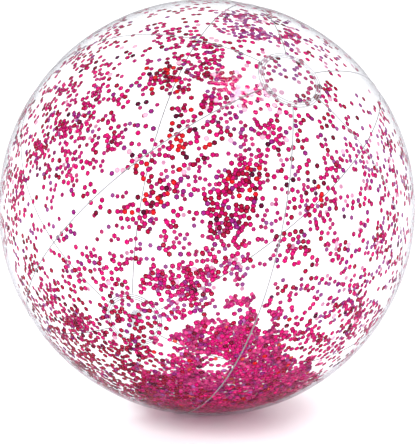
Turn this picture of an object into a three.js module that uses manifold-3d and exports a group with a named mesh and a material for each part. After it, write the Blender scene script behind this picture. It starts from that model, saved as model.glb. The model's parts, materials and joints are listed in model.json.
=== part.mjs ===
// Inflatable beach ball with loose foil flakes inside, inflated and resting on its own weight.
// Six film gores meet at two round polar caps. A push-in valve sits in the middle of the lower
// cap. Units are millimetres, +Z is up, and the origin is the middle of the patch it rests on.

import * as THREE from "three";
import { mergeVertices } from "three/addons/utils/BufferGeometryUtils.js";
import Module from "manifold-3d";

// ---------------------------------------------------------------- ball and film
const ballRadius = 255; // outer radius of the inflated gores
const filmThickness = 0.25; // clear PVC film of the gores and caps
const goreCount = 6;
const contactRadius = 24; // flat patch pressed out where the full ball rests
const weldGap = 0.3; // clearance kept between neighbouring pieces
const roundSteps = 60; // facets round the ball, a multiple of the gore count
const capFacets = 36;

// How the ball happens to lie: the polar axis leans over, and the gores are turned about it.
const axisTilt = 46; // degrees from upright
const axisHeading = -58.5; // degrees from +X, the way the upper pole leans
const goreTurn = -140; // degrees

// ---------------------------------------------------------------- polar caps
const capRadius = 40; // measured along the film
const capLap = 10; // how far a cap laps over the gore ends

// ---------------------------------------------------------------- valve
const valveFacets = 32;
const boreRadius = 3.4; // takes a pump nozzle
const stemWall = 1.8;
const stemLength = 16;
const rimLip = 1; // how far the rim stands out from the stem
const rimThickness = 1.2;
const rimGap = 0.8; // from the rim to the well that the stem is pushed into
const collarThickness = 1.2;
const wellWall = 0.7;
const wellSpare = 4; // how far the well runs on past the pushed-in stem
const flangeWidth = 6; // welded ring round the well
const flangeThickness = 1;
const runningGap = 0.3; // stem collar in the well
const plugClearance = 0.1; // plug in the bore
const plugThickness = 1; // the plug's round head
const plugDepth = 4;
const plugRings = 4;
const strapReach = 7.5; // from the well to where the strap folds back on itself
const strapWidth = 3.6;
const strapThickness = 0.8;
const strapHeading = 10; // degrees round the valve axis
const flapThickness = 0.6;
const flapOverlap = 1; // how far the check flap covers the end of the stem beyond the bore
const flapTab = 0.6; // from the flap's round edge to its hinge

// ---------------------------------------------------------------- glitter
const heapThickness = 0.3; // the loose flakes, as one thin dished layer
const heapAngle = 40; // half angle that the layer covers, seen from the ball's centre
const heapLean = 10; // degrees that the layer's middle lies off the lowest point
const heapHeading = 15; // degrees from +X, the side that it lies to
const heapGap = 0.6; // from the layer to the flat patch of film
const heapFacets = 36;
const heapRings = 6;
const flakeAcross = 6; // from flat side to flat side
const flakeThickness = 0.1;
const flakePlaces = 36; // even places over the whole ball, less those that flakeSkip leaves out
const flakeSkip = 18; // degrees kept clear round the caps and round the lowest point
const darkEvery = 4; // one flake in this many is of the darker foil

// ---------------------------------------------------------------- helpers
const radians = THREE.MathUtils.degToRad;
const wasm = await Module();
wasm.setup();

// Closed indexed mesh with only positions: shared corners joined, empty triangles dropped.
function weld(geometry) {
  const bare = geometry.index ? geometry.toNonIndexed() : geometry.clone();
  for (const name of Object.keys(bare.attributes)) {
    if (name !== "position") bare.deleteAttribute(name);
  }
  const joined = mergeVertices(bare, 1e-4);
  const corners = joined.index.array;
  const kept = [];
  for (let i = 0; i < corners.length; i += 3) {
    const [a, b, c] = corners.slice(i, i + 3);
    if (a !== b && b !== c && c !== a) kept.push(a, b, c);
  }
  joined.setIndex(kept);
  return joined;
}

function toSolid(geometry) {
  const welded = weld(geometry);
  return new wasm.Manifold(
    new wasm.Mesh({
      numProp: 3,
      vertProperties: new Float32Array(welded.attributes.position.array),
      triVerts: new Uint32Array(welded.index.array),
    }),
  );
}

function toGeometry(solid) {
  const mesh = solid.getMesh();
  const geometry = new THREE.BufferGeometry();
  const position = new THREE.BufferAttribute(new Float32Array(mesh.vertProperties), mesh.numProp);
  geometry.setAttribute("position", position);
  geometry.setIndex(Array.from(mesh.triVerts));
  return geometry;
}

// Solid of revolution about Z from [radius, height] corners listed anticlockwise.
function turned(corners, facets) {
  const profile = corners.map(([radius, height]) => new THREE.Vector2(radius, height));
  const geometry = new THREE.LatheGeometry(profile, facets);
  geometry.rotateX(Math.PI / 2);
  return weld(geometry);
}

function closedLoop(corners) {
  return [...corners, corners[0]];
}

// Points of a circular arc in the [radius, height] plane, by angle from the +Z axis.
function arc(radius, from, to, steps) {
  const points = [];
  for (let i = 0; i <= steps; i += 1) {
    const angle = from + ((to - from) * i) / steps;
    points.push([radius * Math.sin(angle), radius * Math.cos(angle)]);
  }
  return points;
}

function block(x, y, z, centre) {
  return new THREE.BoxGeometry(x, y, z).translate(...centre);
}

function piece(name, geometry, material) {
  const mesh = new THREE.Mesh(geometry, material.clone());
  mesh.name = name;
  mesh.geometry.computeVertexNormals();
  return mesh;
}

// ---------------------------------------------------------------- materials
const film = new THREE.MeshStandardMaterial({
  color: 0xf4f6f8,
  roughness: 0.08,
  metalness: 0,
  transparent: true,
  opacity: 0.2,
});
const valveVinyl = new THREE.MeshStandardMaterial({
  color: 0xeceff2,
  roughness: 0.25,
  metalness: 0,
  transparent: true,
  opacity: 0.6,
});
const foil = new THREE.MeshStandardMaterial({ color: 0xd41c6f, roughness: 0.3, metalness: 0.6 });
const foilDark = new THREE.MeshStandardMaterial({ color: 0x7c1030, roughness: 0.3, metalness: 0.6 });

// ---------------------------------------------------------------- frames
const centreHeight = Math.sqrt(ballRadius ** 2 - contactRadius ** 2);

const ball = new THREE.Group(); // polar frame: +Z is the upper pole
ball.rotation.set(0, radians(axisTilt), radians(axisHeading), "ZYX");
ball.position.z = centreHeight;
const gores = new THREE.Group();
gores.rotation.z = radians(goreTurn);
ball.add(gores);
const valve = new THREE.Group(); // +Z points out of the ball through the lower pole
valve.rotation.x = Math.PI;
ball.add(valve);
const heapFrame = new THREE.Group(); // +Z points at the middle of the loose flakes
heapFrame.rotation.set(0, Math.PI - radians(heapLean), radians(heapHeading), "ZYX");
heapFrame.position.z = centreHeight;
const flakes = new THREE.Group();
flakes.position.z = centreHeight;

const part = new THREE.Group();
part.name = "beach_ball";
part.add(ball, heapFrame, flakes);
part.updateMatrixWorld(true);

// ---------------------------------------------------------------- gores
const innerRadius = ballRadius - filmThickness;

// A ball cut off flat at a level in the part's frame, given in the frame of the gores.
function flattenedBall(radius, level) {
  const depth = 2 * ballRadius;
  const under = block(2 * depth, 2 * depth, depth, [0, 0, level - depth / 2]);
  under.applyMatrix4(gores.matrixWorld.clone().invert());
  const round = new THREE.SphereGeometry(radius, roundSteps, roundSteps / 2).rotateX(Math.PI / 2);
  return toSolid(round).subtract(toSolid(under));
}

// One gore's sector, set back from each seam by half the weld gap.
function sector(index) {
  const half = Math.PI / goreCount;
  const reach = 1.2 * ballRadius;
  const outline = new THREE.Shape();
  outline.moveTo(0, 0);
  outline.lineTo(reach, -reach * Math.tan(half));
  outline.lineTo(reach, reach * Math.tan(half));
  outline.closePath();
  const length = 2 * reach;
  const wedge = new THREE.ExtrudeGeometry(outline, { depth: length, bevelEnabled: false });
  wedge.translate(weldGap / 2 / Math.sin(half), 0, -length / 2);
  wedge.rotateZ((2 * index + 1) * half);
  return toSolid(wedge);
}

const wholeFilm = flattenedBall(ballRadius, 0).subtract(flattenedBall(innerRadius, filmThickness));
const endOpening = new THREE.CylinderGeometry(
  ballRadius * Math.sin((capRadius - capLap) / ballRadius),
  ballRadius * Math.sin((capRadius - capLap) / ballRadius),
  3 * ballRadius,
  capFacets,
).rotateX(Math.PI / 2);
const openFilm = wholeFilm.subtract(toSolid(endOpening));

for (let i = 0; i < goreCount; i += 1) {
  gores.add(piece(`gore_${i + 1}`, toGeometry(openFilm.intersect(sector(i))), film));
}

// ---------------------------------------------------------------- polar caps
const capInner = ballRadius + weldGap;
const capOuter = capInner + filmThickness;
const capAngle = capRadius / capOuter;
const capSteps = 4;

function polarCap(holeRadius) {
  const from = Math.asin(holeRadius / capOuter);
  const outer = arc(capOuter, from, capAngle, capSteps);
  const inner = arc(capInner, from, capAngle, capSteps);
  const corners = [...inner, ...outer.reverse()];
  return turned(holeRadius > 0 ? closedLoop(corners) : corners, capFacets);
}

ball.add(piece("polar_cap", polarCap(0), film));

// ---------------------------------------------------------------- valve, pushed in
const stemRadius = boreRadius + stemWall;
const rimRadius = stemRadius + rimLip;
const wellRadius = rimRadius + rimGap;
const collarRadius = wellRadius - runningGap;
const strapHinge = wellRadius + strapReach;
const flangeRadius = wellRadius + flangeWidth;
const flangeTop = Math.sqrt(capInner ** 2 - flangeRadius ** 2) - weldGap;
const rimTop = capOuter + weldGap + strapThickness;
const plugSeat = rimTop + weldGap;
const stemEnd = rimTop - stemLength;
const collarTop = stemEnd + collarThickness;
const strapAngle = radians(strapHeading);

valve.add(piece("valve_cap", polarCap(wellRadius + weldGap), film));

function valveFlange() {
  const outside = wellRadius + wellWall;
  const bottom = stemEnd - wellSpare;
  return turned(
    closedLoop([
      [wellRadius, bottom],
      [outside, bottom],
      [outside, flangeTop - flangeThickness],
      [flangeRadius, flangeTop - flangeThickness],
      [flangeRadius, flangeTop],
      [wellRadius, flangeTop],
    ]),
    valveFacets,
  );
}

// Tube with a rim at the mouth, a collar that slides in the well, and the strap's lower half,
// which lies over the film from the rim out to the fold.
function valveStem() {
  const tube = turned(
    closedLoop([
      [boreRadius, stemEnd],
      [collarRadius, stemEnd],
      [collarRadius, collarTop],
      [stemRadius, collarTop],
      [stemRadius, rimTop - rimThickness],
      [rimRadius, rimTop - rimThickness],
      [rimRadius, rimTop],
      [boreRadius, rimTop],
    ]),
    valveFacets,
  );
  const rootStart = (boreRadius + rimRadius) / 2;
  const root = block(strapHinge - rootStart, strapWidth, strapThickness, [
    (strapHinge + rootStart) / 2,
    0,
    rimTop - strapThickness / 2,
  ]);
  return toGeometry(toSolid(tube).add(toSolid(root)));
}

// Round head with a body that narrows just enough to swing out of the bore about the strap.
function valvePlug() {
  const reach = strapHinge + boreRadius - plugClearance;
  const body = [];
  for (let i = 1; i <= plugRings; i += 1) {
    const depth = (plugDepth * i) / plugRings;
    body.push([Math.sqrt(reach ** 2 - depth ** 2) - strapHinge, rimTop - depth]);
  }
  const neck = [body[0][0], plugSeat];
  const head = [
    [rimRadius, plugSeat],
    [rimRadius, plugSeat + plugThickness],
    [0, plugSeat + plugThickness],
  ];
  return turned([[0, rimTop - plugDepth], ...body.reverse(), neck, ...head], valveFacets);
}

// The strap's upper half, from the plug's head out to the fold.
function plugStrap() {
  const start = rimRadius + weldGap;
  return weld(
    block(strapHinge - start, strapWidth, strapThickness, [
      (strapHinge + start) / 2,
      0,
      plugSeat + strapThickness / 2,
    ]),
  );
}

function checkFlap() {
  const radius = boreRadius + flapOverlap;
  const top = stemEnd - weldGap;
  const disc = new THREE.CylinderGeometry(radius, radius, flapThickness, valveFacets);
  disc.rotateX(Math.PI / 2).translate(0, 0, top - flapThickness / 2);
  const tab = block(radius + flapTab, 2 * boreRadius, flapThickness, [
    -(radius + flapTab) / 2,
    0,
    top - flapThickness / 2,
  ]);
  return toGeometry(toSolid(disc).add(toSolid(tab)));
}

const valveFittings = new THREE.Group();
valveFittings.rotation.z = strapAngle;
valve.add(valveFittings);
valveFittings.add(
  piece("valve_flange", valveFlange(), valveVinyl),
  piece("valve_stem", valveStem(), valveVinyl),
  piece("valve_plug", valvePlug(), valveVinyl),
  piece("plug_strap", plugStrap(), valveVinyl),
  piece("check_flap", checkFlap(), valveVinyl),
);

// ---------------------------------------------------------------- loose glitter
const heapRadius = centreHeight - filmThickness - heapGap;

function glitterHeap() {
  const reach = radians(heapAngle);
  const inner = arc(heapRadius - heapThickness, 0, reach, heapRings);
  const outer = arc(heapRadius, 0, reach, heapRings);
  return turned([...inner, ...outer.reverse()], heapFacets);
}

heapFrame.add(piece("glitter_heap", glitterHeap(), foil));

// ---------------------------------------------------------------- clinging flakes
// Single flakes lie flat against the film, spread evenly by the golden angle, and leave out the
// places where a cap, the valve or the flat patch is.
const facetSink = innerRadius * (1 - Math.cos(Math.PI / roundSteps) ** 2);
const flakeRadius = innerRadius - facetSink - weldGap - flakeThickness / 2;
const pole = new THREE.Vector3(0, 0, 1).transformDirection(ball.matrixWorld);
const lowest = new THREE.Vector3(0, 0, -1);

function clearOfFittings(direction) {
  const keep = radians(flakeSkip);
  const toAxis = Math.acos(Math.min(1, Math.abs(direction.dot(pole))));
  return toAxis > keep && direction.angleTo(lowest) > keep;
}

function evenDirection(index) {
  const goldenAngle = Math.PI * (3 - Math.sqrt(5));
  const rise = 1 - (2 * index + 1) / flakePlaces;
  const flat = Math.sqrt(1 - rise ** 2);
  const around = index * goldenAngle;
  return new THREE.Vector3(flat * Math.cos(around), flat * Math.sin(around), rise);
}

const flakeCorner = flakeAcross / 2 / Math.cos(Math.PI / 6);
const spots = Array.from({ length: flakePlaces }, (_, index) => evenDirection(index));
spots.filter(clearOfFittings).forEach((direction, index) => {
  const hexagon = new THREE.CylinderGeometry(flakeCorner, flakeCorner, flakeThickness, 6);
  const material = index % darkEvery === 0 ? foilDark : foil;
  const flake = piece(`glitter_flake_${index + 1}`, weld(hexagon), material);
  flake.quaternion.setFromUnitVectors(new THREE.Vector3(0, 1, 0), direction);
  flake.position.copy(direction).multiplyScalar(flakeRadius);
  flakes.add(flake);
});

export default part;
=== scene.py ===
# %% [markdown]
# # A clear beach ball with foil glitter inside
# Six pointed petals of clear film are welded edge to edge. A round cap of the same film covers
# each end, and a push-in valve sits in the middle of the lower cap. Thousands of six-sided foil
# flakes are loose inside: many cling to the film and the rest lie in a drift at the bottom.
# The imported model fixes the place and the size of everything, so it is loaded first.

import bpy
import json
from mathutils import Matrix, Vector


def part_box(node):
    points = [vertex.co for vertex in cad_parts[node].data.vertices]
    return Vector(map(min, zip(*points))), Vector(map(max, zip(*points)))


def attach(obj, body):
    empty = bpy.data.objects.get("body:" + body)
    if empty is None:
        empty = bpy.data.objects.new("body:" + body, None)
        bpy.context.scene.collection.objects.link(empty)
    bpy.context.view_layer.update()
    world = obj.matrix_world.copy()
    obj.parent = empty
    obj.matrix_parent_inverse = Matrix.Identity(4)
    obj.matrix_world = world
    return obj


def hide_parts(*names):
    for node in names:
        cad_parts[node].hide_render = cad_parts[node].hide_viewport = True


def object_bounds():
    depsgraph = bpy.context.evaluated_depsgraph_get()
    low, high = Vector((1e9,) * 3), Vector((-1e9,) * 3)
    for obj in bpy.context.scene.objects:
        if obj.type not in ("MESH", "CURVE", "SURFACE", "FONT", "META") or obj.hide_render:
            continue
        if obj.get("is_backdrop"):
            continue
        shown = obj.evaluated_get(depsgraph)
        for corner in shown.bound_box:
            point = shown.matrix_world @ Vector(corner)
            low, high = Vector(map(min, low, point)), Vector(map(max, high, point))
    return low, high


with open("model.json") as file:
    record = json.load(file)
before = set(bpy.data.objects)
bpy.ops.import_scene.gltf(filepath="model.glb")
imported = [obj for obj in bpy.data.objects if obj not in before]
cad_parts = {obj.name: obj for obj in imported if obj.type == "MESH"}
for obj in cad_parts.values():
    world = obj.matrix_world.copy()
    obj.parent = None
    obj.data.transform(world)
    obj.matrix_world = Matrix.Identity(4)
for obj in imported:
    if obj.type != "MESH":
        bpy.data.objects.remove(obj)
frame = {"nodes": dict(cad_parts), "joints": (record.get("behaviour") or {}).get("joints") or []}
cad_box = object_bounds()

# %% [markdown]
# The ball doesn't stand upright: its polar axis leans. The valve slides out along that axis, so
# the valve's joint gives the lower pole, and the glitter turns about the ball's centre. The
# first petal's own middle says how far the petals are turned round the axis.

# %% Sizes and directions, in metres
import json
import math
import random

import bpy
import numpy as np
from mathutils import Matrix, Vector, noise

MM = 0.001
PETALS = 6
PETAL_ANGLE = 360 / PETALS
FILM = 0.25 * MM
CAP_REACH = 40 * MM
CAP_LAP = 10 * MM

joints = {joint["name"]: joint for joint in frame["joints"]}
CENTRE = Vector(joints["glitter_roll"]["pos_m"])
valve_axis = Vector(joints["stem_slide"]["axis"]).normalized()
upper_axis = -valve_axis


def points_of(node):
    """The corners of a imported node, as rows of x, y, z."""
    return np.array([corner.co[:] for corner in frame["nodes"][node].data.vertices])


petal_points = points_of("gore_1") - np.array(CENTRE)
BALL_RADIUS = float(np.linalg.norm(petal_points, axis=1).max())
middle = Vector(petal_points.mean(axis=0))
middle -= middle.project(upper_axis)
seam_side = Matrix.Rotation(math.radians(-PETAL_ANGLE / 2), 3, upper_axis) @ middle.normalized()
# Columns: the first seam's side, the side a quarter turn on, and the upper pole.
PETAL_TURN = Matrix((seam_side, upper_axis.cross(seam_side), upper_axis)).transposed()
PETAL_PLACE = Matrix.Translation(CENTRE) @ PETAL_TURN.to_4x4()
print(f"ball radius {BALL_RADIUS / MM:.1f} mm, centre {CENTRE.z / MM:.1f} mm up")

# %% [markdown]
# A ball pumped up hard is round, but each weld pulls the film in a little, and the film beside
# it gathers into shallow puckers. The floor presses out a small flat. One function gives the
# film's radius in any direction, and every piece on the film follows it.

# %% The shape that the film takes
SEAM_DIP = 0.9 * MM
SEAM_REACH = 16 * MM
PUCKER_DEPTH = 0.22 * MM
PUCKER_REACH = 20 * MM
PUCKERS = 34
# The seams are pressed flat beside the caps and pull in fully from here on.
SEAM_FULL = 2.5 * CAP_REACH


def smooth_step(value, low, high):
    """0 below low, 1 above high, and a soft rise between."""
    part = min(1.0, max(0.0, (value - low) / (high - low)))
    return part * part * (3 - 2 * part)


def film_radius(out):
    """Outer radius of the film in a unit direction from the ball's centre."""
    local = PETAL_TURN.transposed() @ out
    round_angle = math.degrees(math.atan2(local.y, local.x)) % PETAL_ANGLE
    off_seam = min(round_angle, PETAL_ANGLE - round_angle)
    from_axis = math.hypot(local.x, local.y)
    gap = math.radians(off_seam) * from_axis * BALL_RADIUS
    fade = smooth_step(from_axis * BALL_RADIUS, CAP_REACH, SEAM_FULL)
    dip = SEAM_DIP * math.exp(-((gap / SEAM_REACH) ** 2))
    pucker = PUCKER_DEPTH * math.exp(-((gap / PUCKER_REACH) ** 2)) * (gap / PUCKER_REACH)
    wave = math.sin(PUCKERS * math.asin(max(-1.0, min(1.0, local.z))))
    radius = BALL_RADIUS - fade * (dip + pucker * (1 + wave))
    if out.z < 0:
        radius = min(radius, CENTRE.z / -out.z)
    return radius


def toward(heading, height):
    """Direction from the centre: heading 0 is the front and 90 the right; height is upwards."""
    side = math.radians(heading)
    rise = math.radians(height)
    flat = math.cos(rise)
    return Vector((flat * math.sin(side), -flat * math.cos(side), math.sin(rise)))


print(f"film at the front: {film_radius(toward(0, 0)) / MM:.2f} mm from the centre")

# %% [markdown]
# A few short tools are used again and again: clear the selection before an operator runs, name
# a finished piece and fix its place in its mesh, and lay a piece's corners on the film.

# %% Modelling helpers
def select_only(*pieces):
    """Selects these pieces and nothing else, and makes the first one active."""
    bpy.ops.object.select_all(action="DESELECT")
    for piece in pieces:
        piece.select_set(True)
    bpy.context.view_layer.objects.active = pieces[0]


def begin():
    """Clears the selection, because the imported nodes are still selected."""
    bpy.ops.object.select_all(action="DESELECT")


def settle(piece, name, place=None):
    """Names a new piece and puts its place into its mesh."""
    piece.name = name
    piece.data.name = name
    select_only(piece)
    bpy.ops.object.transform_apply(location=True, rotation=True, scale=True)
    if place is not None:
        piece.data.transform(place)
    return piece


def edit(piece, mode):
    """Goes into edit mode with one kind of element selectable."""
    select_only(piece)
    bpy.ops.object.mode_set(mode="EDIT")
    bpy.ops.mesh.select_mode(type=mode)


def leave_edit():
    """Goes back to object mode."""
    bpy.ops.object.mode_set(mode="OBJECT")


def tidy_mesh(piece):
    """Merges doubles, then turns every face outwards."""
    edit(piece, "VERT")
    bpy.ops.mesh.select_all(action="SELECT")
    bpy.ops.mesh.remove_doubles(threshold=0.01 * MM)
    bpy.ops.mesh.normals_make_consistent(inside=False)
    leave_edit()


def smooth(piece, angle=40):
    """Smooth shading, except across edges sharper than the angle."""
    select_only(piece)
    bpy.ops.object.shade_smooth_by_angle(angle=math.radians(angle))


def lay_on_film(piece):
    """Moves each corner so that its height above a true ball becomes its height above the film."""
    for corner in piece.data.vertices:
        out = corner.co - CENTRE
        height = out.length - BALL_RADIUS
        out.normalize()
        corner.co = CENTRE + out * (film_radius(out) + height)
    piece.data.update()


def copy_of(piece, name):
    """A copy with its own mesh."""
    twin = piece.copy()
    twin.data = piece.data.copy()
    twin.name = name
    twin.data.name = name
    bpy.context.scene.collection.objects.link(twin)
    return twin


print("helpers ready")

# %% [markdown]
# Every finish is made from shader nodes, and so is the light. A small helper adds nodes, joins
# them and makes the fine waves that film, welds and foil all have, so the cells below stay short.

# %% Node helper
class Nodes:
    """Adds and joins the shader nodes of one material or world."""

    def __init__(self, owner, output="ShaderNodeOutputMaterial"):
        owner.use_nodes = True
        self.owner = owner
        self.tree = owner.node_tree
        self.tree.nodes.clear()
        self.output = self.add(output)

    def add(self, kind, **values):
        """A node with its settings or socket values."""
        node = self.tree.nodes.new(kind)
        for key, value in values.items():
            if hasattr(node, key):
                setattr(node, key, value)
            else:
                node.inputs[key.replace("_", " ")].default_value = value
        return node

    def join(self, source, target):
        """A link from an output socket to an input socket."""
        self.tree.links.new(source, target)

    def calculate(self, operation, first, second):
        """A Math node between a socket and a number or a second socket."""
        node = self.add("ShaderNodeMath", operation=operation)
        self.join(first, node.inputs[0])
        if isinstance(second, (int, float)):
            node.inputs[1].default_value = second
        else:
            self.join(second, node.inputs[1])
        return node.outputs[0]

    def ripple(self, scale, distance):
        """A bump from noise on the piece's own coordinates."""
        place = self.add("ShaderNodeTexCoord")
        wave = self.add("ShaderNodeTexNoise", Scale=scale, Detail=2.0)
        bump = self.add("ShaderNodeBump", Strength=0.5, Distance=distance)
        self.join(place.outputs["Object"], wave.inputs["Vector"])
        self.join(wave.outputs["Fac"], bump.inputs["Height"])
        return bump.outputs["Normal"]


print("node helper ready")

# %% [markdown]
# Clear PVC film is hardly there when it is seen straight on and mirrors its surroundings at a
# glancing angle. Glass with refraction would need real thickness and many light paths, so the
# film is a see-through surface with a mirror laid over it, mixed by the angle of view. A trace
# of haze and a grey tint grow towards the edge, where more plastic is looked through.

# %% Clear plastic
STRAIGHT_ON = 0.004
GRAZING_POWER = 14
EDGE_POWER = 6
EDGE_GREY = (0.60, 0.60, 0.63, 1)
HAZE_GREY = (0.58, 0.58, 0.60, 1)


def clear_plastic(name, tint, haze, edge_haze, gloss, ripple):
    """See-through plastic: haze straight on, more haze at the edge, and a mirror by angle."""
    nodes = Nodes(bpy.data.materials.new(name))
    normal = nodes.ripple(*ripple)
    facing = nodes.add("ShaderNodeLayerWeight", Blend=0.5)
    through = nodes.add("ShaderNodeBsdfTransparent")
    colour = nodes.add("ShaderNodeMix", data_type="RGBA")
    colour.inputs["A"].default_value = tint
    colour.inputs["B"].default_value = EDGE_GREY
    milky = nodes.add("ShaderNodeBsdfDiffuse", Color=HAZE_GREY)
    mirror = nodes.add("ShaderNodeBsdfGlossy", Color=(1, 1, 1, 1), Roughness=gloss)
    body = nodes.add("ShaderNodeMixShader")
    surface = nodes.add("ShaderNodeMixShader")
    edge = nodes.calculate("POWER", facing.outputs["Facing"], EDGE_POWER)
    steep = nodes.calculate("POWER", facing.outputs["Facing"], GRAZING_POWER)
    grazing = nodes.calculate("MULTIPLY", steep, 1 - STRAIGHT_ON)
    mirror_share = nodes.calculate("ADD", grazing, STRAIGHT_ON)
    haze_share = nodes.calculate("ADD", nodes.calculate("MULTIPLY", edge, edge_haze), haze)
    nodes.join(edge, colour.inputs["Factor"])
    nodes.join(colour.outputs["Result"], through.inputs["Color"])
    nodes.join(normal, milky.inputs["Normal"])
    nodes.join(normal, mirror.inputs["Normal"])
    nodes.join(haze_share, body.inputs[0])
    nodes.join(through.outputs[0], body.inputs[1])
    nodes.join(milky.outputs[0], body.inputs[2])
    nodes.join(mirror_share, surface.inputs[0])
    nodes.join(body.outputs[0], surface.inputs[1])
    nodes.join(mirror.outputs[0], surface.inputs[2])
    nodes.join(surface.outputs[0], nodes.output.inputs["Surface"])
    return nodes.owner


print("clear plastic ready")

# %% [markdown]
# The ball has four clear plastics: the film, the film of the caps that lies double and looks a
# little greyer, the welded film that the hot tool has dulled, and the moulded vinyl of the
# valve. They share one recipe and differ in tint, haze, gloss and how fine their ripple is.

# %% Film, caps, welds and valve vinyl
CLEAR = (1, 1, 1, 1)
CAP_GREY = (0.92, 0.92, 0.93, 1)
WELD_GREY = (0.50, 0.50, 0.52, 1)
VINYL_GREY = (0.93, 0.93, 0.94, 1)
# How fine the ripple is, and how deep.
FILM_RIPPLE = (16, 0.08 * MM)
WELD_RIPPLE = (900, 0.08 * MM)
VINYL_RIPPLE = (260, 0.05 * MM)
clear_film = clear_plastic("clear_film", CLEAR, 0.002, 0.06, 0.03, FILM_RIPPLE)
cap_film = clear_plastic("cap_film", CAP_GREY, 0.02, 0.06, 0.04, FILM_RIPPLE)
weld_film = clear_plastic("welded_film", WELD_GREY, 0.26, 0.1, 0.16, WELD_RIPPLE)
valve_vinyl = clear_plastic("clear_vinyl", VINYL_GREY, 0.06, 0.2, 0.10, VINYL_RIPPLE)
print("plastics:", clear_film.name, cap_film.name, weld_film.name, valve_vinyl.name)

# %% [markdown]
# A foil flake is punched from metallised film. Painted shade darkens it towards its edge, its
# outer side is bright, and the side that faces into the ball is paler. Three numbers are stored
# on each flake's corners: how near the edge, which side, and how bright this flake is.

# %% Foil finish
FOIL_RETURNS = 0.78
LIGHT_THROUGH = 0.30
# Where the painted edge shade starts and where it is full, and how much of it the inner side keeps.
INNER_RIM = 0.45
RIM_START = 0.45
RIM_FULL = 0.85
FOIL_CRINKLE = (700, 0.04 * MM)


def foil_colour(text):
    """Linear colour of a web colour, less what the foil takes from the light."""
    parts = [int(text[i : i + 2], 16) / 255 for i in (0, 2, 4)]
    linear = [part / 12.92 if part <= 0.04045 else ((part + 0.055) / 1.055) ** 2.4 for part in parts]
    return (*[part * FOIL_RETURNS for part in linear], 1)


def foil_shade(nodes, face, painted_rim, inner):
    """Colour over one flake: paler inside, painted shade towards the edge, times its brightness."""
    tone = nodes.add("ShaderNodeVertexColor", layer_name="tone")
    parts = nodes.add("ShaderNodeSeparateColor")
    side = nodes.add("ShaderNodeMix", data_type="RGBA")
    edge = nodes.add("ShaderNodeMix", data_type="RGBA")
    shade = nodes.add("ShaderNodeMix", data_type="RGBA", blend_type="MULTIPLY")
    rim_start = nodes.add("ShaderNodeMapRange", interpolation_type="SMOOTHSTEP")
    rim_share = nodes.add("ShaderNodeMapRange")
    side.inputs["A"].default_value = foil_colour(face)
    side.inputs["B"].default_value = foil_colour(inner)
    edge.inputs["B"].default_value = foil_colour(painted_rim)
    shade.inputs["Factor"].default_value = 1
    rim_start.inputs["From Min"].default_value = RIM_START
    rim_start.inputs["From Max"].default_value = RIM_FULL
    rim_share.inputs["To Min"].default_value = 1.0
    rim_share.inputs["To Max"].default_value = INNER_RIM
    nodes.join(tone.outputs["Color"], parts.inputs["Color"])
    nodes.join(parts.outputs["Red"], rim_start.inputs["Value"])
    nodes.join(parts.outputs["Green"], rim_share.inputs["Value"])
    nodes.join(parts.outputs["Green"], side.inputs["Factor"])
    rim_end = rim_start.outputs["Result"]
    darkening = nodes.calculate("MULTIPLY", rim_end, rim_share.outputs["Result"])
    nodes.join(darkening, edge.inputs["Factor"])
    nodes.join(side.outputs["Result"], edge.inputs["A"])
    nodes.join(edge.outputs["Result"], shade.inputs["A"])
    nodes.join(parts.outputs["Blue"], shade.inputs["B"])
    return shade.outputs["Result"]


def foil(name, face, painted_rim, inner):
    """Thin coloured foil that shines a little and lets some light through."""
    nodes = Nodes(bpy.data.materials.new(name))
    shade = foil_shade(nodes, face, painted_rim, inner)
    surface = nodes.add("ShaderNodeBsdfPrincipled", Metallic=0.12, Roughness=0.36)
    surface.inputs["Specular IOR Level"].default_value = 0.03
    through = nodes.add("ShaderNodeBsdfTranslucent")
    body = nodes.add("ShaderNodeMixShader", Fac=LIGHT_THROUGH)
    nodes.join(shade, surface.inputs["Base Color"])
    nodes.join(shade, through.inputs["Color"])
    nodes.join(nodes.ripple(*FOIL_CRINKLE), surface.inputs["Normal"])
    nodes.join(surface.outputs[0], body.inputs[1])
    nodes.join(through.outputs[0], body.inputs[2])
    nodes.join(body.outputs[0], nodes.output.inputs["Surface"])
    return nodes.owner


print("foil finish ready")

# %% [markdown]
# The glitter looks pink from afar, but it is a mix: mostly magenta and rose, with crimson, fire
# red, violet and a few nearly black flakes. Each foil has a colour for its outer face, a darker
# colour painted at its edge as shade, and one for its inner side, as web colours.

# %% Eight foil colours
FOILS = {
    "magenta": foil("foil_magenta", "dc0478", "88023c", "dc2c90"),
    "rose": foil("foil_rose", "f20c84", "a80452", "ee4c9c"),
    "crimson": foil("foil_crimson", "c00444", "68021e", "c8246c"),
    "maroon": foil("foil_maroon", "900438", "3c021c", "a4307c"),
    "night": foil("foil_night", "6a0638", "24021c", "742c60"),
    "fire": foil("foil_fire", "f01c2c", "a40818", "ec5c50"),
    "violet": foil("foil_violet", "b02490", "640c58", "c464b8"),
    # Pale foil: a painted highlight in the pale patch under the glow's reflection, and a pale tone in
    # the other mixes.
    "pale": foil("foil_pale_and_highlight", "fcd0e4", "f4b0d0", "f4b8d8"),
}
FOIL_ORDER = list(FOILS)
print("foil colours:", FOIL_ORDER)

# %% [markdown]
# A petal is a sixth of the ball's skin. It could be cut flat and bent, but the full ball is a
# sphere, so a fine ball is added and bisected along two seams and at both ends, where the round
# caps take over. One petal is made, and the other five are copies turned round the axis.

# %% Model one petal
BALL_SEGMENTS = 240
SEAM_SETBACK = 0.1 * MM
PETAL_END = (CAP_REACH - CAP_LAP) / BALL_RADIUS


def cut_away(point, normal):
    """Bisects the mesh in edit mode and removes the side that the normal points to."""
    bpy.ops.mesh.select_all(action="SELECT")
    bpy.ops.mesh.bisect(plane_co=point, plane_no=normal, clear_outer=True, threshold=0.001 * MM)


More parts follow.
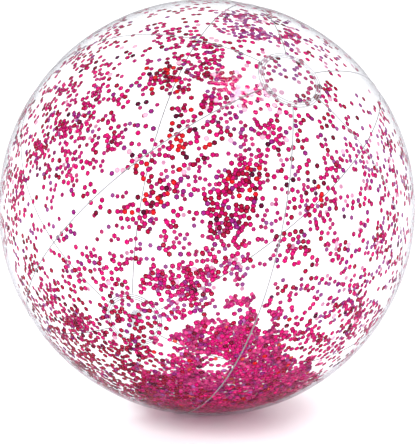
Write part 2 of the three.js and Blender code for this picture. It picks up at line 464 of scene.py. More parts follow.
begin()
bpy.ops.mesh.primitive_uv_sphere_add(
    segments=BALL_SEGMENTS, ring_count=BALL_SEGMENTS // 2, radius=BALL_RADIUS
)
petal = bpy.context.active_object
edit(petal, "VERT")
first_side = Vector((0, -1, 0))
last_side = Matrix.Rotation(math.radians(PETAL_ANGLE), 3, "Z") @ Vector((0, 1, 0))
cut_away(-first_side * SEAM_SETBACK, first_side)
cut_away(-last_side * SEAM_SETBACK, last_side)
end_level = BALL_RADIUS * math.cos(PETAL_END)
cut_away((0, 0, end_level), (0, 0, 1))
cut_away((0, 0, -end_level), (0, 0, -1))
leave_edit()
tidy_mesh(petal)
print("one petal:", len(petal.data.polygons), "faces")

# %% [markdown]
# Each copy is turned to its place and its corners are laid on the film's true shape, so the
# seams pull in and the bottom petal gets its flat. Only then does Solidify give the film its
# thickness, inwards, so the outside stays where it is.

# %% Six petals
def thicken(piece, wall):
    """Gives a skin its wall, on the inner side."""
    select_only(piece)
    wall_maker = piece.modifiers.new("wall", "SOLIDIFY")
    wall_maker.thickness = wall
    wall_maker.offset = -1
    wall_maker.use_even_offset = True
    bpy.ops.object.modifier_apply(modifier=wall_maker.name)


for number in range(PETALS):
    turned_petal = copy_of(petal, f"film_petal_{number + 1}")
    turn = Matrix.Rotation(math.radians(PETAL_ANGLE * number), 4, "Z")
    turned_petal.data.transform(PETAL_PLACE @ turn)
    lay_on_film(turned_petal)
    thicken(turned_petal, FILM)
    smooth(turned_petal, 60)
    turned_petal.data.materials.append(clear_film)
    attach(turned_petal, "root")
    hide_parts(f"gore_{number + 1}")
bpy.data.objects.remove(petal)
print("petals made:", PETALS)

# %% [markdown]
# Each seam is two film edges pressed together with heat, which leaves a low flattened cord. Its
# cross-section is a small flattened circle, spun about the ball's centre from cap to cap.

# %% Six welded seams
WELD_WIDTH = 1.7 * MM
WELD_HEIGHT = 0.4 * MM
WELD_SIDES = 8
WELD_STEPS = 120
WELD_LIFT = 0.02 * MM
CAP_CLEAR = 0.3 * MM
weld_start = (CAP_REACH + CAP_CLEAR) / BALL_RADIUS

begin()
bpy.ops.mesh.primitive_circle_add(vertices=WELD_SIDES, radius=0.5, fill_type="NGON")
seam = bpy.context.active_object
seam.scale = (WELD_HEIGHT, WELD_WIDTH, 1)
seam.rotation_euler = (0, weld_start - math.radians(90), 0)
weld_radius = BALL_RADIUS + WELD_LIFT + WELD_HEIGHT / 2
seam.location = (weld_radius * math.sin(weld_start), 0, weld_radius * math.cos(weld_start))
settle(seam, "seam")
edit(seam, "FACE")
bpy.ops.mesh.select_all(action="SELECT")
bpy.ops.mesh.spin(
    steps=WELD_STEPS, angle=2 * weld_start - math.pi, center=(0, 0, 0), axis=(0, 1, 0)
)
bpy.ops.mesh.select_all(action="SELECT")
bpy.ops.mesh.fill_holes(sides=WELD_SIDES)
leave_edit()
tidy_mesh(seam)
print("seam reaches from", round(min(v.co.z for v in seam.data.vertices), 4),
      "to", round(max(v.co.z for v in seam.data.vertices), 4))

for number in range(PETALS):
    turned_seam = copy_of(seam, f"welded_seam_{number + 1}")
    turn = Matrix.Rotation(math.radians(PETAL_ANGLE * number), 4, "Z")
    turned_seam.data.transform(PETAL_PLACE @ turn)
    lay_on_film(turned_seam)
    smooth(turned_seam, 60)
    turned_seam.data.materials.append(weld_film)
    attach(turned_seam, "root")
bpy.data.objects.remove(seam)
print("seams made:", PETALS)

# %% [markdown]
# The caps, the flange and the valve are all round, so one tool turns them: a circle is extruded
# and resized from station to station along the profile, as on a lathe. A profile that comes
# back to its start makes a ring, and one that ends on the axis is closed there.

# %% Lathe tool
NEAR_AXIS = 0.01 * MM


def turn_profile(name, stations, sides, place):
    """A round piece from (radius, height) stations along its profile."""
    closes = stations[0] == stations[-1]
    begin()
    radius, height = stations[0]
    bpy.ops.mesh.primitive_circle_add(
        vertices=sides, radius=max(radius, NEAR_AXIS), location=(0, 0, height)
    )
    piece = bpy.context.active_object
    edit(piece, "EDGE")
    bpy.ops.mesh.select_all(action="SELECT")
    now = max(radius, NEAR_AXIS)
    for new_radius, new_height in stations[1:]:
        reach = max(new_radius, NEAR_AXIS)
        rise = new_height - height
        bpy.ops.mesh.extrude_region_move(TRANSFORM_OT_translate={"value": (0, 0, rise)})
        bpy.ops.transform.resize(value=(reach / now, reach / now, 1))
        now = reach
        height = new_height
    if not closes:
        bpy.ops.mesh.merge(type="CENTER")
    leave_edit()
    if not closes and stations[0][0] == 0:
        close_axis(piece, stations[0][1])
    settle(piece, name, place)
    tidy_mesh(piece)
    return piece


def close_axis(piece, height):
    """Merges the tiny first circle on the axis into one corner."""
    pole = Vector((0, 0, height))
    edit(piece, "VERT")
    bpy.ops.mesh.select_all(action="DESELECT")
    leave_edit()
    for corner in piece.data.vertices:
        corner.select = (corner.co - pole).length < 2 * NEAR_AXIS
    edit(piece, "VERT")
    bpy.ops.mesh.merge(type="CENTER")
    leave_edit()


def frame_on(axis, side):
    """A place whose Z runs along an axis and whose X lies on a side, at the ball's centre."""
    across = (side - side.project(axis)).normalized()
    turn = Matrix((across, axis.cross(across), axis)).transposed()
    return Matrix.Translation(CENTRE) @ turn.to_4x4()


UPPER_PLACE = frame_on(upper_axis, seam_side)
print("lathe ready")

# %% [markdown]
# A cap is a shallow dish of film with three narrow weld rings near its edge. Each ring is a low
# double ridge, so its profile rises, dips a little and falls. The ridges and the cap's edge get
# the duller welded film, and the rest is the cap's own film.

# %% Caps with their weld rings
CAP_GAP = 0.3 * MM
RING_REACHES = (39.0 * MM, 36.2 * MM, 33.4 * MM)
RING_WIDTH = 1.7 * MM
RING_HEIGHT = 0.3 * MM
RING_DIP = 0.3
EDGE_WIDTH = 0.35 * MM
CAP_SIDES = 144
UNDER_STEPS = 12
OVER_STEPS = 60
RING_STEPS = 4


def cap_height(reach):
    """Height of the cap's outside above plain film, at a distance along the film from the pole."""
    for ring in RING_REACHES:
        off = abs(reach - ring) / (RING_WIDTH / 2)
        if off < 1:
            return RING_HEIGHT * (1 - off**4) * (1 - RING_DIP + RING_DIP * off)
    return 0.0


def cap_stations(hole):
    """Profile of a cap: under the film from the edge to the hole, then back over the top."""
    under_radius = BALL_RADIUS + CAP_GAP
    over_radius = under_radius + FILM
    edge = CAP_REACH / over_radius
    first = hole / over_radius
    under = [edge + (first - edge) * step / UNDER_STEPS for step in range(UNDER_STEPS + 1)]
    over = [first + (edge - first) * step / OVER_STEPS for step in range(OVER_STEPS + 1)]
    # More stations where the rings are.
    fine = [
        (ring + RING_WIDTH / 2 * part / RING_STEPS) / over_radius
        for ring in RING_REACHES
        for part in range(-RING_STEPS, RING_STEPS + 1)
    ]
    over = sorted(set(over + fine))
    profile = [(under_radius * math.sin(a), under_radius * math.cos(a)) for a in under]
    for angle in over:
        radius = over_radius + cap_height(angle * over_radius)
        profile.append((radius * math.sin(angle), radius * math.cos(angle)))
    profile.append(profile[0])
    return profile


def make_cap(name, hole, place, node):
    """Turns one cap and gives its rings the welded film."""
    cap = turn_profile(name, cap_stations(hole), CAP_SIDES, place)
    smooth(cap, 60)
    cap.data.materials.append(cap_film)
    cap.data.materials.append(weld_film)
    axis = (place.to_3x3() @ Vector((0, 0, 1))).normalized()
    for face in cap.data.polygons:
        reach = (face.center - CENTRE).angle(axis) * (BALL_RADIUS + CAP_GAP)
        on_top = (face.center - CENTRE).length > BALL_RADIUS + CAP_GAP + FILM / 2
        on_ring = on_top and min(abs(reach - ring) for ring in RING_REACHES) < RING_WIDTH / 2
        at_edge = reach > CAP_REACH - EDGE_WIDTH
        face.material_index = int(on_ring or at_edge)
    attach(cap, "root")
    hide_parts(node)
    return cap


make_cap("upper_cap", 0.0, UPPER_PLACE, "polar_cap")
print("upper cap made")

# %% [markdown]
# The lower cap is the same dish with a hole for the valve, and it lies round the valve's own
# axis. The valve's parts fit and slide in one another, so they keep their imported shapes, and
# only their finish changes, to clear moulded vinyl.

# %% Lower cap and valve vinyl
strap_side = Vector(joints["plug_swing"]["pos_m"]) - CENTRE
VALVE_PLACE = frame_on(valve_axis, strap_side)
CAP_HOLE = 7.3 * MM
make_cap("lower_cap", CAP_HOLE, VALVE_PLACE, "valve_cap")
VALVE_NODES = ("valve_flange", "valve_stem", "valve_plug", "plug_strap", "check_flap")
for node in VALVE_NODES:
    for material_slot in frame["nodes"][node].material_slots:
        material_slot.material = valve_vinyl
print("valve parts:", VALVE_NODES)

# %% [markdown]
# The flake is modelled once. It is a six-sided disc as thin as a hair, and its middle is pushed
# up a little, because foil is never quite flat. The side faces and two fans of six triangles
# keep it small, since it is copied thousands of times.

# %% Model one flake
FLAKE_ACROSS = 6 * MM
FLAKE_THICKNESS = 0.1 * MM
FLAKE_DOME = 0.08 * MM
FLAKE_MIDDLE = FLAKE_ACROSS / 4
FLAKE_CORNER = FLAKE_ACROSS / 2 / math.cos(math.radians(30))

begin()
bpy.ops.mesh.primitive_cylinder_add(
    vertices=6, radius=FLAKE_CORNER, depth=FLAKE_THICKNESS, end_fill_type="TRIFAN"
)
flake = bpy.context.active_object
edit(flake, "VERT")
bpy.ops.mesh.select_all(action="DESELECT")
leave_edit()
for corner in flake.data.vertices:
    corner.select = math.hypot(corner.co.x, corner.co.y) < FLAKE_MIDDLE
edit(flake, "VERT")
bpy.ops.transform.translate(value=(0, 0, FLAKE_DOME))
leave_edit()
settle(flake, "one_flake")
flake_corners = np.array([corner.co[:] for corner in flake.data.vertices])
flake_faces = [tuple(face.vertices) for face in flake.data.polygons]
is_rim = np.hypot(flake_corners[:, 0], flake_corners[:, 1]) > FLAKE_MIDDLE
is_inner = flake_corners[:, 2] < np.where(is_rim, 0, FLAKE_DOME)
bpy.data.objects.remove(flake)
print("flake:", len(flake_corners), "corners,", len(flake_faces), "faces")

# %% [markdown]
# Where a flake lies is a direction from the centre, a depth under the film, a tilt and a turn.
# Flakes near one another keep a small distance, so they don't lie in the same place. A grid of
# cells finds the near ones quickly.

# %% Places for flakes
class Spacing:
    """Remembers taken places and says if a new one is far enough from them."""

    def __init__(self, least):
        self.least = least
        self.cells = {}

    def key(self, point):
        """The cell that a point is in."""
        return tuple(math.floor(value / self.least) for value in point)

    def near(self, point):
        """Taken points in the cell and its neighbours."""
        a, b, c = self.key(point)
        for i in (a - 1, a, a + 1):
            for j in (b - 1, b, b + 1):
                for k in (c - 1, c, c + 1):
                    yield from self.cells.get((i, j, k), ())

    def take(self, point, least=None):
        """Takes the place if nothing is nearer than least."""
        reach = self.least if least is None else least
        if any((point - other).length < reach for other in self.near(point)):
            return False
        self.cells.setdefault(self.key(point), []).append(point)
        return True


FILM_CLEARANCE = 0.22 * MM


def flake_place(out, depth, tilt, tilt_side, turn, ceiling=None):
    """Matrix of a flake lying under the film, tilted and sunk just far enough to stay inside."""
    surface = film_radius(out) - FILM
    if ceiling is not None:
        surface = min(surface, ceiling)
    lift = FLAKE_CORNER * math.sin(abs(tilt)) + FLAKE_DOME + FLAKE_THICKNESS / 2
    radius = surface - FILM_CLEARANCE - lift - depth
    lie = out.to_track_quat("Z", "Y").to_matrix().to_4x4()
    lean = Matrix.Rotation(tilt_side, 4, "Z") @ Matrix.Rotation(tilt, 4, "X")
    spin = Matrix.Rotation(turn, 4, "Z")
    return Matrix.Translation(CENTRE + out * radius) @ lie @ lean @ spin


def nudge(out, distance, bearing):
    """The direction that a step along the film leads to."""
    side = out.orthogonal().normalized()
    side = Matrix.Rotation(bearing, 3, out) @ side
    return (out + side * (distance / BALL_RADIUS)).normalized()


print("spacing tools ready")

# %% [markdown]
# Static holds the flakes in drifts and strings, not evenly. Each named clump has a heading and a
# height, how far it reaches in degrees, how much of the film it covers and its mix of foils.
# The bare patches are places that stay nearly clear.

# %% Clumps on the front of the ball
BARE_COVER = 0.035
FRONT_CLUMPS = (
    ("crown, left", -40, 72, 12, 0.05, "plain"),
    ("crown, right", 60, 70, 8, 0.10, "plain"),
    ("left shoulder", -50, 42, 13, 0.22, "plain"),
    ("left knots", -44, 30, 8, 0.30, "plain"),
    ("left cheek", -62, 20, 14, 0.24, "plain"),
    ("left, middle height", -34, 12, 9, 0.12, "plain"),
    ("brow knot", -13, 44, 7, 0.40, "fiery"),
    ("brow, middle", -6, 54, 8, 0.26, "plain"),
    ("brow, right of middle", 4, 49, 6, 0.40, "plain"),
    ("high middle", 0, 34, 6, 0.46, "plain"),
    # The pale patch's pale foil is a painted highlight where the glow's reflection lies on the flakes.
    ("painted highlight patch", 15, 43, 7, 0.34, "pale"),
    ("painted highlight patch, lower end", 19, 36, 4, 0.20, "pale"),
    ("fire trail", -5, 26, 5, 0.26, "fiery"),
    ("violet string", -19, 28, 4, 0.24, "violet"),
    ("fire string", -14, 15, 6, 0.28, "fiery"),
    ("right of middle", 15, 27, 9, 0.20, "plain"),
    ("dark string", 13, 16, 4, 0.36, "fiery"),
    ("middle knot", 6, 11, 5, 0.70, "plain"),
    ("middle knot, lower end", 4, 7, 5, 0.40, "dark"),
    ("violet knot", -6, 15, 3, 0.50, "violet"),
    ("right fire", 28, 17, 5, 0.22, "fiery"),
    ("right knot", 24, 1, 4, 0.36, "plain"),
    ("right string", 43, 25, 6, 0.28, "plain"),
    ("knot beside the cap", 48, 39, 4, 0.40, "plain"),
    ("under the cap", 36, 41, 4, 0.24, "plain"),
    ("below the fire string", -14, 4, 6, 0.24, "plain"),
    ("lower middle", -9, -8, 8, 0.62, "plain"),
    ("below the middle", 8, 0, 5, 0.34, "plain"),
    ("left, below the middle", -32, -10, 9, 0.20, "plain"),
    # The dark mix low on the left is partly the foils' own crimson and maroon and partly painted shade.
    ("left, low", -53, -18, 9, 0.34, "dark"),
    ("left, lower", -32, -22, 9, 0.26, "plain"),
    ("by the valve", -23, -25, 6, 0.70, "dark"),
    ("dark field", -33, -36, 10, 0.50, "dark"),
    ("dark field, left end", -50, -40, 9, 0.34, "dark"),
    ("dark field, lower", -38, -53, 12, 0.52, "dark"),
    ("dark field, middle", -14, -42, 7, 0.26, "dark"),
    ("right, middle height", 36, -2, 10, 0.12, "plain"),
    ("right edge", 57, 6, 8, 0.26, "plain"),
    ("right edge, lower", 55, -5, 6, 0.26, "plain"),
    ("right, low", 42, -26, 12, 0.30, "plain"),
    ("front, low right", 20, -32, 10, 0.66, "drift"),
    ("front, low middle", 2, -31, 8, 0.46, "drift"),
)
print("front clumps:", len(FRONT_CLUMPS))

# %% [markdown]
# The far side shows through the near one, so its clumps matter as much. A bare patch has a
# heading, a height, how far it reaches and how strongly it is kept clear. The mixes say how
# many flakes of each foil a clump has, as shares of any size.

# %% Clumps on the far side and bare patches
FAR_CLUMPS = (
    ("far crown, right", 142, 52, 12, 0.38, "violet"),
    ("far crown, middle", 160, 58, 9, 0.16, "violet"),
    ("far brow", 180, 30, 12, 0.16, "plain"),
    ("far middle", 176, 4, 22, 0.10, "plain"),
    ("far, low", -172, -28, 12, 0.18, "plain"),
    ("far streak, low end", -169, -37, 3.5, 1.0, "violet"),
    ("far streak, middle", -179, -32, 3.5, 1.0, "violet"),
    ("far streak, high end", 170, -27, 3.5, 1.0, "violet"),
    ("far right", 118, 0, 18, 0.14, "violet"),
    ("far left", -122, 12, 20, 0.12, "plain"),
    ("far left, below the middle", -120, -28, 10, 0.14, "plain"),
    ("far right, low", 118, -36, 12, 0.28, "violet"),
    ("far left, low", -112, -46, 14, 0.26, "dark"),
)
BARE_PATCHES = (
    ("inside the upper cap", 31, 45, 9, 0.75),
    ("above the upper cap", 22, 64, 8, 0.6),
    ("crown, left", -24, 70, 9, 0.5),
    ("left cheek", -46, 4, 8, 0.9),
    ("left of the fire trail", -16, 26, 3.5, 0.9),
    ("below the streak", 6, -15, 4, 0.8),
    ("left brow", -33, 47, 5, 0.85),
    ("right of the cap", 64, 40, 9, 0.9),
    ("right, high", 54, 24, 6, 0.8),
    ("pale wedge, near", 5, -44, 7, 0.99),
    ("far, behind the wedge", 174, -64, 7, 0.99),
    ("beside the valve", -152, -60, 9, 0.95),
    ("far left cheek", -136, -10, 8, 0.8),
    ("far, below the streak", 173, -36, 5, 0.9),
    ("far, behind the left brow", -154, 30, 6, 0.8),
)
MIXES = {
    "plain": {"magenta": 50, "rose": 17, "crimson": 17, "maroon": 4, "night": 1, "violet": 9, "pale": 2},
    "fiery": {"fire": 28, "maroon": 18, "night": 8, "crimson": 22, "magenta": 24},
    # The dark mix is partly the foils' own colours and partly painted shade for the low left side.
    "dark": {"crimson": 52, "maroon": 18, "magenta": 24, "night": 2, "violet": 4},
    "violet": {"violet": 45, "magenta": 28, "rose": 10, "pale": 17},
    # The pale mix is a painted highlight, laid under the glow's mirrored patch.
    "pale": {"pale": 60, "rose": 30, "magenta": 10},
    "drift": {"magenta": 40, "rose": 38, "crimson": 8, "maroon": 5, "violet": 6, "fire": 3},
}
print("far clumps:", len(FAR_CLUMPS), "bare patches:", len(BARE_PATCHES))

# %% [markdown]
# The cover at a point is the sum of the clumps there, less the bare patches, broken up by noise
# so that it is patchy at the size of a hand. The clump that gives most picks the foil mix.

# %% How richly the film is covered
NOISE_SCALE = 8.5
NOISE_LOW = -0.1
NOISE_HIGH = 0.4
LEAST_PATCHY = 0.2
PATCHY_RISE = 2.0
CLUMP_END = 2.2
CLUMPS = [
    (toward(heading, height), math.radians(reach), cover, mix)
    for _, heading, height, reach, cover, mix in FRONT_CLUMPS + FAR_CLUMPS
]
BARE = [
    (toward(heading, height), math.radians(reach), strength)
    for _, heading, height, reach, strength in BARE_PATCHES
]


def bare_share(out):
    """1 where nothing is kept clear, near 0 in the middle of a bare patch."""
    left = 1.0
    for spot, reach, strength in BARE:
        left *= 1 - strength * math.exp(-((out.angle(spot) / reach) ** 4))
    return left


def cover_at(out, draw):
    """Share of the film that flakes cover, and the foil mix, in a direction."""
    total = BARE_COVER
    weights = [BARE_COVER]
    mixes = ["plain"]
    for spot, reach, cover, mix in CLUMPS:
        angle = out.angle(spot)
        if angle < CLUMP_END * reach:
            part = cover * math.exp(-((angle / reach) ** 2))
            total += part
            weights.append(part)
            mixes.append(mix)
    wave = smooth_step(noise.noise(out * NOISE_SCALE), NOISE_LOW, NOISE_HIGH)
    patchy = LEAST_PATCHY + PATCHY_RISE * wave
    return total * patchy * bare_share(out), draw.choices(mixes, weights)[0]


def pick_foil(mix, draw):
    """One foil colour from a mix."""
    return draw.choices(list(MIXES[mix]), list(MIXES[mix].values()))[0]


print("cover at the front:", round(cover_at(toward(0, 0), random.Random(1))[0], 2))

# %% [markdown]
# A clinging flake lies against the film with only a slight tilt, which keeps it outside the path
# of the loose drift. It stays clear of the valve, of the flat on the floor, of bare patches and
# of its neighbours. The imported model's own flakes are laid first.

# %% Cling one flake
CLING_SEED = 20
CLING_GAP = 5.5 * MM
MOST_BARE = 0.3
VALVE_CLEAR = math.radians(4.4)
FLOOR_CLEAR = math.radians(8)
USUAL_TILT = 2.5
MOST_TILT = math.radians(7)
MOST_DEPTH = 0.25
draw = random.Random(CLING_SEED)
spacing = Spacing(CLING_GAP)
clinging = []


def random_direction(draw):
    """Even over the whole sphere."""
    rise = draw.uniform(-1, 1)
    side = draw.uniform(0, 2 * math.pi)
    flat = math.sqrt(1 - rise * rise)
    return Vector((flat * math.cos(side), flat * math.sin(side), rise))


def is_free(out):
    """Clear of the valve and of the flat on the floor."""
    return out.angle(valve_axis) > VALVE_CLEAR and out.angle(Vector((0, 0, -1))) > FLOOR_CLEAR


def cling(out, mix, gap):
    """Adds one clinging flake if there is room."""
    if not is_free(out) or bare_share(out) < MOST_BARE:
        return False
    if not spacing.take(out * BALL_RADIUS, gap):
        return False
    tilt = min(math.radians(abs(draw.gauss(0, USUAL_TILT))), MOST_TILT)
    depth = draw.uniform(0, MOST_DEPTH) * MM
    turn = draw.uniform(0, math.pi / 3)
    place = flake_place(out, depth, tilt, draw.uniform(0, 2 * math.pi), turn)
    clinging.append((out, place, pick_foil(mix, draw), draw.uniform(0.82, 1.0)))
    return True


cad_flakes = sorted(node for node in frame["nodes"] if node.startswith("glitter_flake_"))
for node in cad_flakes:
    low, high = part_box(node)
    cling(((low + high) / 2 - CENTRE).normalized(), "plain", CLING_GAP)
print("flakes at the packed places:", len(clinging), "of", len(cad_flakes))

# %% [markdown]
# As many places are tried as there are flakes in a full cover, and the richer the cover is at a
# place, the more likely it is kept. Flakes hold on to each other, so a first flake often starts
# a short string: each next one lies about a flake's width away, in nearly the same line.

# %% Scatter strings of flakes
FLAKE_AREA = FLAKE_ACROSS**2 * math.cos(math.radians(30))
BALL_AREA = 4 * math.pi * BALL_RADIUS**2
RICHNESS = 3.3
CROWDED_FROM = 0.45
CROWDED_GAP = 3.4 * MM
STRING_MEAN = 1.7
STRING_STEP = (5.8, 10)
STRING_BEND = 1.1
tries = int(BALL_AREA / FLAKE_AREA)
for _ in range(tries):
    out = random_direction(draw)
    cover, mix = cover_at(out, draw)
    if draw.random() * STRING_MEAN > cover * RICHNESS:
        continue
    gap = CROWDED_GAP if cover > CROWDED_FROM else CLING_GAP
    bearing = draw.uniform(0, 2 * math.pi)
    cling(out, mix, gap)
    while draw.random() < 1 - 1 / STRING_MEAN:
        out = nudge(out, draw.uniform(*STRING_STEP) * MM, bearing)
        bearing += draw.gauss(0, STRING_BEND)
        cling(out, mix, gap)
print("clinging flakes:", len(clinging))

# %% [markdown]
# Thousands of separate objects would be slow, so the flakes of one part of the ball are joined
# in one mesh. Every copy has its own corners, its foil as a material number, and the three
# numbers of its tone.

# %% Join flakes in pieces
def build_flakes(name, flakes, body):
    """One mesh from (direction, place, foil, brightness) flakes."""
    corners = []
    faces = []
    tones = []
    foils = []
    for number, (_, place, foil_name, brightness) in enumerate(flakes):
        turn = np.array(place.to_3x3())
        corners.append(flake_corners @ turn.T + np.array(place.translation))
        start = number * len(flake_corners)
        faces.extend(tuple(start + index for index in face) for face in flake_faces)
        foils.extend([FOIL_ORDER.index(foil_name)] * len(flake_faces))
        tone = np.ones((len(flake_corners), 4))
        tone[:, 0] = is_rim
        tone[:, 1] = is_inner
        tone[:, 2] = brightness
        tones.append(tone)
    mesh = bpy.data.meshes.new(name)
    mesh.from_pydata(np.concatenate(corners).tolist(), [], faces)
    layer = mesh.color_attributes.new("tone", "FLOAT_COLOR", "POINT")
    layer.data.foreach_set("color", np.concatenate(tones).astype(np.float32).ravel())
    for foil_name in FOIL_ORDER:
        mesh.materials.append(FOILS[foil_name])
    mesh.polygons.foreach_set("material_index", foils)
    mesh.update()
    piece = bpy.data.objects.new(name, mesh)
    bpy.context.scene.collection.objects.link(piece)
    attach(piece, body)
    print(f"{name}: {len(flakes)} flakes")
    return piece


DARK_FOILS = ("maroon", "night")


def part_of_ball(out):
    """Name of the quarter of the ball that a direction is in."""
    side = "front" if out.y < 0 else "back"
    return f"{side}_{'high' if out.z > 0 else 'low'}"


for part in ("front_high", "front_low", "back_high", "back_low"):
    members = [item for item in clinging if part_of_ball(item[0]) == part]
    bright = [item for item in members if item[2] not in DARK_FOILS]
    bright_piece = build_flakes(f"clinging_flakes_{part}", bright, "root")
    for node in cad_flakes:
        low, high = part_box(node)
        if part_of_ball((low + high) / 2 - CENTRE) == part:
            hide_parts(node)
dark = [item for item in clinging if item[2] in DARK_FOILS]
build_flakes("clinging_flakes_dark", dark, "root")

# %% [markdown]
# The rest of the glitter lies at the bottom, a few flakes deep. It can roll round inside the
# ball, so all of it stays nearer the centre than the floor's flat, the seams and the flakes that
# cling, and it passes beside the valve. Seen from above it is an oval with a ragged edge.

# %% Where the drift lies
DRIFT_MIDDLE = (0.10, 0.05)
DRIFT_HALF = (0.42, 0.66)
RAGGED_EDGE = 0.34
RAGGED_SCALE = 12
EDGE_STARTS = 0.74
EDGE_ENDS = 1.06
SEAM_AND_FLAKE_CLEAR = 1.8 * MM
DRIFT_CEILING = CENTRE.z - FILM - SEAM_AND_FLAKE_CLEAR
roll_axis = Vector(joints["glitter_roll"]["axis"]).normalized()
# As the drift rolls it must pass beside the valve.
PATH_END = valve_axis.angle(roll_axis) - math.radians(8)


def drift_cover(out):
    """Share covered by the loose drift, an oval seen from above with a ragged edge."""
    if out.angle(roll_axis) > PATH_END:
        return 0.0
    across = (out.x - DRIFT_MIDDLE[0]) / DRIFT_HALF[0]
    along = (out.y - DRIFT_MIDDLE[1]) / DRIFT_HALF[1]
    off = math.hypot(across, along) + RAGGED_EDGE * noise.noise(out * RAGGED_SCALE)
    return (1 - smooth_step(off, EDGE_STARTS, EDGE_ENDS)) * bare_share(out)


print("drift covers the lowest point:", round(drift_cover(Vector((0, 0, -1))), 2))

# %% [markdown]
# Three layers make the drift. The lowest lies nearly flat on the film, and each one above it is
# deeper and leans more, so some flakes catch the light and others shade their neighbours.

# %% Three layers of loose flakes
LAYERS = (
    # name, depth from and to in mm, largest tilt in degrees, least gap in mm
    ("drift_on_the_film", 0.0, 0.4, 4, 4.7),
    ("drift_middle_layer", 0.7, 1.4, 9, 4.7),
    ("drift_top_layer", 1.6, 3.4, 28, 5.4),
)
DRIFT_SEED = 41
DRIFT_TOP = -0.4
TRIES_PER_PLACE = 6
draw = random.Random(DRIFT_SEED)
drift_tries = int(TRIES_PER_PLACE * BALL_AREA / FLAKE_AREA)
for layer_name, shallow, deep, most_tilt, gap in LAYERS:
    taken = Spacing(gap * MM)
    loose = []
    for _ in range(drift_tries):
        out = random_direction(draw)
        if out.z > DRIFT_TOP or draw.random() > drift_cover(out):
            continue
        if not taken.take(out * BALL_RADIUS):
            continue
        tilt = math.radians(draw.uniform(0, most_tilt))
        depth = draw.uniform(shallow, deep) * MM
        turn = draw.uniform(0, math.pi / 3)
        side = draw.uniform(0, 2 * math.pi)
        place = flake_place(out, depth, tilt, side, turn, DRIFT_CEILING)
        # Brightness is a random tone, and its rise to 1.5 on the drift is painted light, since the drift
        # lies low in little light.
        loose.append((out, place, pick_foil("drift", draw), draw.uniform(0.75, 1.5)))
    layer_piece = build_flakes(layer_name, loose, "loose_glitter")
    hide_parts("glitter_heap")

# %% [markdown]
# The ball stands on a pale floor with a slight gloss. The floor is far larger than the ball, so
# its edge is out of sight from every side.

# %% Floor
FLOOR_SIZE = 60
begin()
bpy.ops.mesh.primitive_plane_add(size=FLOOR_SIZE, location=(0, 0, 0))
floor = bpy.context.active_object
settle(floor, "floor")
floor_nodes = Nodes(bpy.data.materials.new("pale_floor"))
floor_paint = floor_nodes.add("ShaderNodeBsdfPrincipled", Roughness=0.22)
floor_paint.inputs["Base Color"].default_value = (0.93, 0.945, 0.95, 1)
floor_paint.inputs["Specular IOR Level"].default_value = 0.15
floor_nodes.join(floor_paint.outputs[0], floor_nodes.output.inputs["Surface"])
floor.data.materials.append(floor_nodes.owner)
floor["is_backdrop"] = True
print("floor", FLOOR_SIZE, "m across")

# %% [markdown]
# A clear ball shows mostly what is round it, so the light is made in the world's shader. Its
# direction is put through soft ramps, and a light can be chosen by the kind of ray: the camera
# sees plain white, the film mirrors a grey room with a bright glow, and the rest lights the foil.

# %% Sky helpers
world = bpy.data.worlds.new("studio")
bpy.context.scene.world = world
sky = Nodes(world, "ShaderNodeOutputWorld")


def sky_ramp(source, low, high, at_low, at_high):
    """A soft ramp of a direction's number between two levels."""
    ramp = sky.add("ShaderNodeMapRange", interpolation_type="SMOOTHSTEP")
    ramp.inputs["From Min"].default_value = low
    ramp.inputs["From Max"].default_value = high
    ramp.inputs["To Min"].default_value = at_low
    ramp.inputs["To Max"].default_value = at_high
    sky.join(source, ramp.inputs["Value"])
    return ramp.outputs["Result"]


def sky_light(strength):
    """White light whose strength comes from a socket."""
    node = sky.add("ShaderNodeBackground", Color=(1, 1, 1, 1))
    sky.join(strength, node.inputs["Strength"])
    return node.outputs[0]


def sky_choice(chooser, otherwise, chosen):
    """One light for the rays that the chooser names, another for the rest."""
    node = sky.add("ShaderNodeMixShader")
    for place, source in enumerate((chooser, otherwise, chosen)):
        sky.join(source, node.inputs[place])
    return node.outputs[0]


print("sky helpers ready")

# %% [markdown]
# The glow is nearly overhead, a little to the right and in front. Mirrored in the film it
# washes out a patch beside the upper cap. The fill is brighter low down, which keeps the shadow
# small, and the mirrored room is darker in front, which gives the film its grey edge.

# %% Light from all round
GLOW_SIDE = Vector((0.27, -0.16, 0.95)).normalized()
GLOW_POWER = 9.0
GLOW_EDGE = (0.955, 0.99)
SHADOW_POWER = 0.3
SHADOW_EDGE = (0.9, 0.99)
ROOM_SPAN = (-1.0, 0.2)
ROOM_LIGHT = (0.25, 0.90)
FILL_LIGHT = (2.7, 1.3)
direction = sky.add("ShaderNodeTexCoord").outputs["Generated"]
along = sky.add("ShaderNodeVectorMath", operation="DOT_PRODUCT")
along.inputs[1].default_value = GLOW_SIDE
sky.join(direction, along.inputs[0])
parts = sky.add("ShaderNodeSeparateXYZ")
sky.join(direction, parts.inputs[0])
glow = sky_ramp(along.outputs["Value"], *GLOW_EDGE, 0.0, GLOW_POWER)
room = sky_ramp(parts.outputs["Y"], *ROOM_SPAN, *ROOM_LIGHT)
mirrored = sky_light(sky.calculate("ADD", glow, room))
shadow_glow = sky_ramp(along.outputs["Value"], *SHADOW_EDGE, 0.0, SHADOW_POWER)
all_round = sky_ramp(parts.outputs["Z"], 0.0, 1.0, *FILL_LIGHT)
fill = sky_light(sky.calculate("ADD", shadow_glow, all_round))
backdrop = sky.add("ShaderNodeBackground", Color=(1, 1, 1, 1), Strength=1.0)
rays = sky.add("ShaderNodeLightPath")
light = sky_choice(rays.outputs["Is Glossy Ray"], fill, mirrored)
light = sky_choice(rays.outputs["Is Camera Ray"], light, backdrop.outputs[0])
sky.join(light, sky.output.inputs["Surface"])
print("glow from", tuple(round(value, 2) for value in GLOW_SIDE))

# %% [markdown]
# The white floor would throw light back up at the ball's lower half, but the drift shades it.
# Three low, wide panels stand round the ball and light that half, faintly pink as the light
# near so much foil is. They don't show in the film.

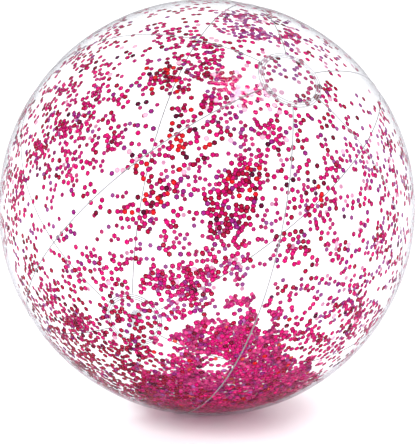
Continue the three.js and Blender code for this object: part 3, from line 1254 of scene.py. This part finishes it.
# %% Low panels
PANEL_DISTANCE = 1.7
PANEL_HEIGHT = 0.34
PANEL_SIZE = (2.2, 0.6)
PANEL_WATTS = {0: 15.0, 120: 8.0, 240: 8.0}
PANEL_PINK = (1.0, 0.78, 0.92)
PANEL_AIM = Vector((0, 0, 0.12))
for heading, watts in PANEL_WATTS.items():
    panel_place = toward(heading, 0) * PANEL_DISTANCE + Vector((0, 0, PANEL_HEIGHT))
    begin()
    bpy.ops.object.light_add(type="AREA", location=panel_place)
    panel = bpy.context.active_object
    panel.name = f"low_panel_{heading}"
    panel.data.shape = "RECTANGLE"
    panel.data.size, panel.data.size_y = PANEL_SIZE
    panel.data.energy = watts
    panel.data.color = PANEL_PINK
    aim_line = PANEL_AIM - panel_place
    panel.rotation_euler = aim_line.to_track_quat("-Z", "Y").to_euler()
    panel.visible_glossy = False
print("low panels:", len(PANEL_WATTS))

# %% [markdown]
# The foil at the bottom throws pink light on the floor close round the foot. That light would
# take very many bounces to find, so a small pink lamp in the ball stands for it. It casts no
# shadows, so the drift doesn't stop it.

# %% Pink light from the foil
FOIL_GLOW_HEIGHT = 80 * MM
FOIL_GLOW_WATTS = 0.018
FOIL_GLOW_COLOUR = (1.0, 0.03, 0.65)
FOIL_GLOW_SIZE = 20 * MM
begin()
bpy.ops.object.light_add(type="POINT", location=(0, 0, FOIL_GLOW_HEIGHT))
foil_glow = bpy.context.active_object
foil_glow.name = "pink_light_from_foil"
foil_glow.data.energy = FOIL_GLOW_WATTS
foil_glow.data.color = FOIL_GLOW_COLOUR
foil_glow.data.shadow_soft_size = FOIL_GLOW_SIZE
foil_glow.data.use_shadow = False
foil_glow.visible_glossy = False
print("pink light", FOIL_GLOW_HEIGHT / MM, "mm up")

# %% [markdown]
# The ball is seen from a little above its middle through a long lens, so it looks almost as
# round and flat as a drawing. The aim is a little below the centre, to leave room for the shadow.

# %% Camera
CAMERA_DISTANCE = 11 * BALL_RADIUS
CAMERA_HEIGHT = 10
AIM_BELOW = 17.8 * MM
AIM_RIGHT = 1.4 * MM
LENS = 185.4
SEEN_FROM = 0.05
SEEN_TO = 200
FILM_LAYERS = 32
camera_side = toward(0, CAMERA_HEIGHT)
camera_up = Vector((0, camera_side.z, -camera_side.y))
camera_data = bpy.data.cameras.new("camera")
camera_data.lens = LENS
camera_data.clip_start = SEEN_FROM
camera_data.clip_end = SEEN_TO
camera = bpy.data.objects.new("camera", camera_data)
bpy.context.scene.collection.objects.link(camera)
camera.location = CENTRE + camera_side * CAMERA_DISTANCE
aim = CENTRE - camera_up * AIM_BELOW + Vector((AIM_RIGHT, 0, 0))
camera.rotation_euler = (aim - camera.location).to_track_quat("-Z", "Y").to_euler()
bpy.context.scene.camera = camera
bpy.context.scene.view_settings.view_transform = "Standard"
bpy.context.scene.cycles.transparent_max_bounces = FILM_LAYERS
print("camera at", tuple(round(value, 2) for value in camera.location))

# %% [markdown]
# The looks mustn't change the ball's size, so the box round the imported model and the box round
# the finished one are both printed.

# %% Print the boxes
look_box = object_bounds()
boxes = [[list(corner) for corner in box] for box in (cad_box, look_box)]
for title, box in zip(("packed box", "visible box"), boxes):
    print(title, [[round(value, 4) for value in corner] for corner in box])
